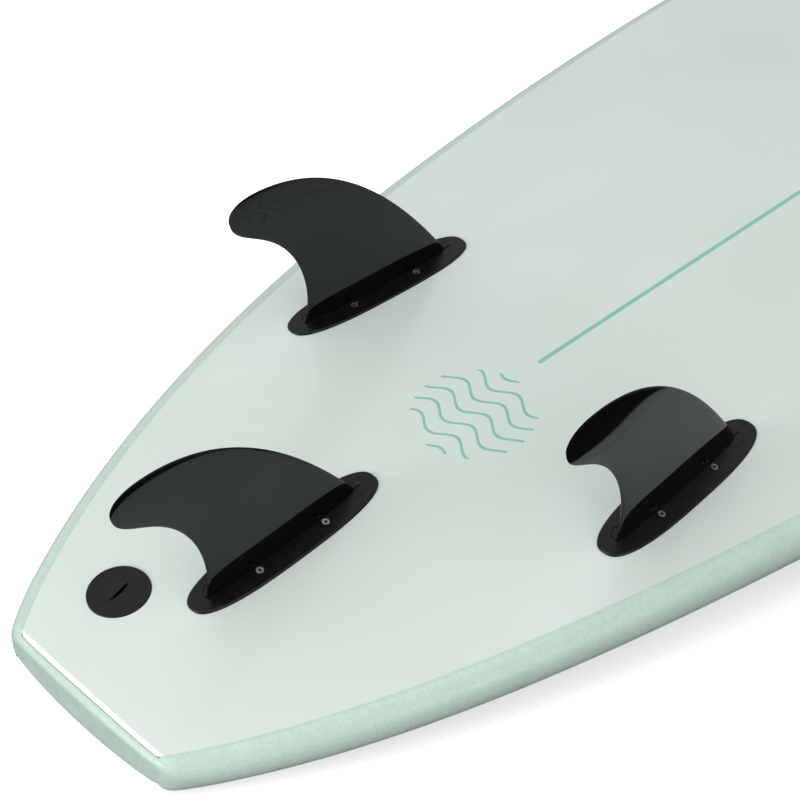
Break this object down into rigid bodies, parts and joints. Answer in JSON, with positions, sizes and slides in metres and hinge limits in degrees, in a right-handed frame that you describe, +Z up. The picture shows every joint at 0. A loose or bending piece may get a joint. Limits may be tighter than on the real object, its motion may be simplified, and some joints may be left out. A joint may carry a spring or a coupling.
{
  "type": "surfboard",
  "caption": "Soft foam surfboard with a squared-off tail, a slick bottom sheet, foam rails and deck, screw-in fins in oval-plated boxes and a leash plug.",
  "frame": {"origin": "on the floor under the middle of the board's length, in its centre plane; the board lies deck-down with its fins up, resting on its nose tip and its tail end", "axes": "+Y towards the nose, +Z up out of the slick bottom, +X to the right when seen from above with the nose away"},
  "size_m": [0.5048, 1.83, 0.1835],
  "materials": {
    "core_foam": "matte",
    "stringer_wood": "matte",
    "foam_skin": "matte",
    "slick_sheet": "gloss",
    "black_nylon": "satin",
    "fin_plastic": "gloss",
    "screw_steel": "satin"
  },
  "bodies": {
    "board": {"core_left": "core_foam", "core_right": "core_foam", "stringer": "stringer_wood", "deck_skin": "foam_skin", "deck_tail": "foam_skin", "slick_bottom": "slick_sheet", "rail_left": "foam_skin", "rail_right": "foam_skin", "tail_block": "foam_skin", "fin_box_left": "black_nylon", "fin_box_centre": "black_nylon", "fin_box_right": "black_nylon", "port_plugs_left": "black_nylon", "port_plugs_centre": "black_nylon", "port_plugs_right": "black_nylon", "leash_cup": "black_nylon", "leash_bar": "screw_steel"},
    "fin_left": {"fin_left": "fin_plastic"},
    "fin_centre": {"fin_centre": "fin_plastic"},
    "fin_right": {"fin_right": "fin_plastic"},
    "grub_left_rear": {"grub_left_rear": "screw_steel"},
    "grub_left_front": {"grub_left_front": "screw_steel"},
    "grub_centre_rear": {"grub_centre_rear": "screw_steel"},
    "grub_centre_front": {"grub_centre_front": "screw_steel"},
    "grub_right_rear": {"grub_right_rear": "screw_steel"},
    "grub_right_front": {"grub_right_front": "screw_steel"},
    "leash_disc": {"leash_disc": "black_nylon"}
  },
  "joints": [
    {"name": "fin_left_lift", "type": "slide", "parent": "board", "child": "fin_left", "axis": [-0.0056, -0.0664, 0.9978], "range_m": [0, 0.03]},
    {"name": "fin_centre_lift", "type": "slide", "parent": "board", "child": "fin_centre", "axis": [0, -0.123, 0.9924], "range_m": [0, 0.03]},
    {"name": "fin_right_lift", "type": "slide", "parent": "board", "child": "fin_right", "axis": [0.0056, -0.0664, 0.9978], "range_m": [0, 0.03]},
    {"name": "grub_left_rear_turn", "type": "hinge", "parent": "board", "child": "grub_left_rear", "pos_m": [-0.13096, -0.58195, 0.06453], "axis": [0.2525, -0.0858, 0.9638], "range_deg": [0, 720]},
    {"name": "grub_left_front_turn", "type": "hinge", "parent": "board", "child": "grub_left_front", "pos_m": [-0.12654, -0.52926, 0.06806], "axis": [0.2525, -0.0858, 0.9638], "range_deg": [0, 720]},
    {"name": "grub_centre_rear_turn", "type": "hinge", "parent": "board", "child": "grub_centre_rear", "pos_m": [0.007, -0.78342, 0.04998], "axis": [0.2588, -0.1188, 0.9586], "range_deg": [0, 720]},
    {"name": "grub_centre_front_turn", "type": "hinge", "parent": "board", "child": "grub_centre_front", "pos_m": [0.007, -0.73083, 0.0565], "axis": [0.2588, -0.1188, 0.9586], "range_deg": [0, 720]},
    {"name": "grub_right_rear_turn", "type": "hinge", "parent": "board", "child": "grub_right_rear", "pos_m": [0.14491, -0.58078, 0.06453], "axis": [0.2633, -0.0425, 0.9638], "range_deg": [0, 720]},
    {"name": "grub_right_front_turn", "type": "hinge", "parent": "board", "child": "grub_right_front", "pos_m": [0.14049, -0.52809, 0.06806], "axis": [0.2633, -0.0425, 0.9638], "range_deg": [0, 720]},
    {"name": "leash_disc_turn", "type": "hinge", "parent": "board", "child": "leash_disc", "pos_m": [-0.044, -0.8507, 0.03804], "axis": [0, -0.1505, 0.9886], "range_deg": [0, 360]}
  ]
}
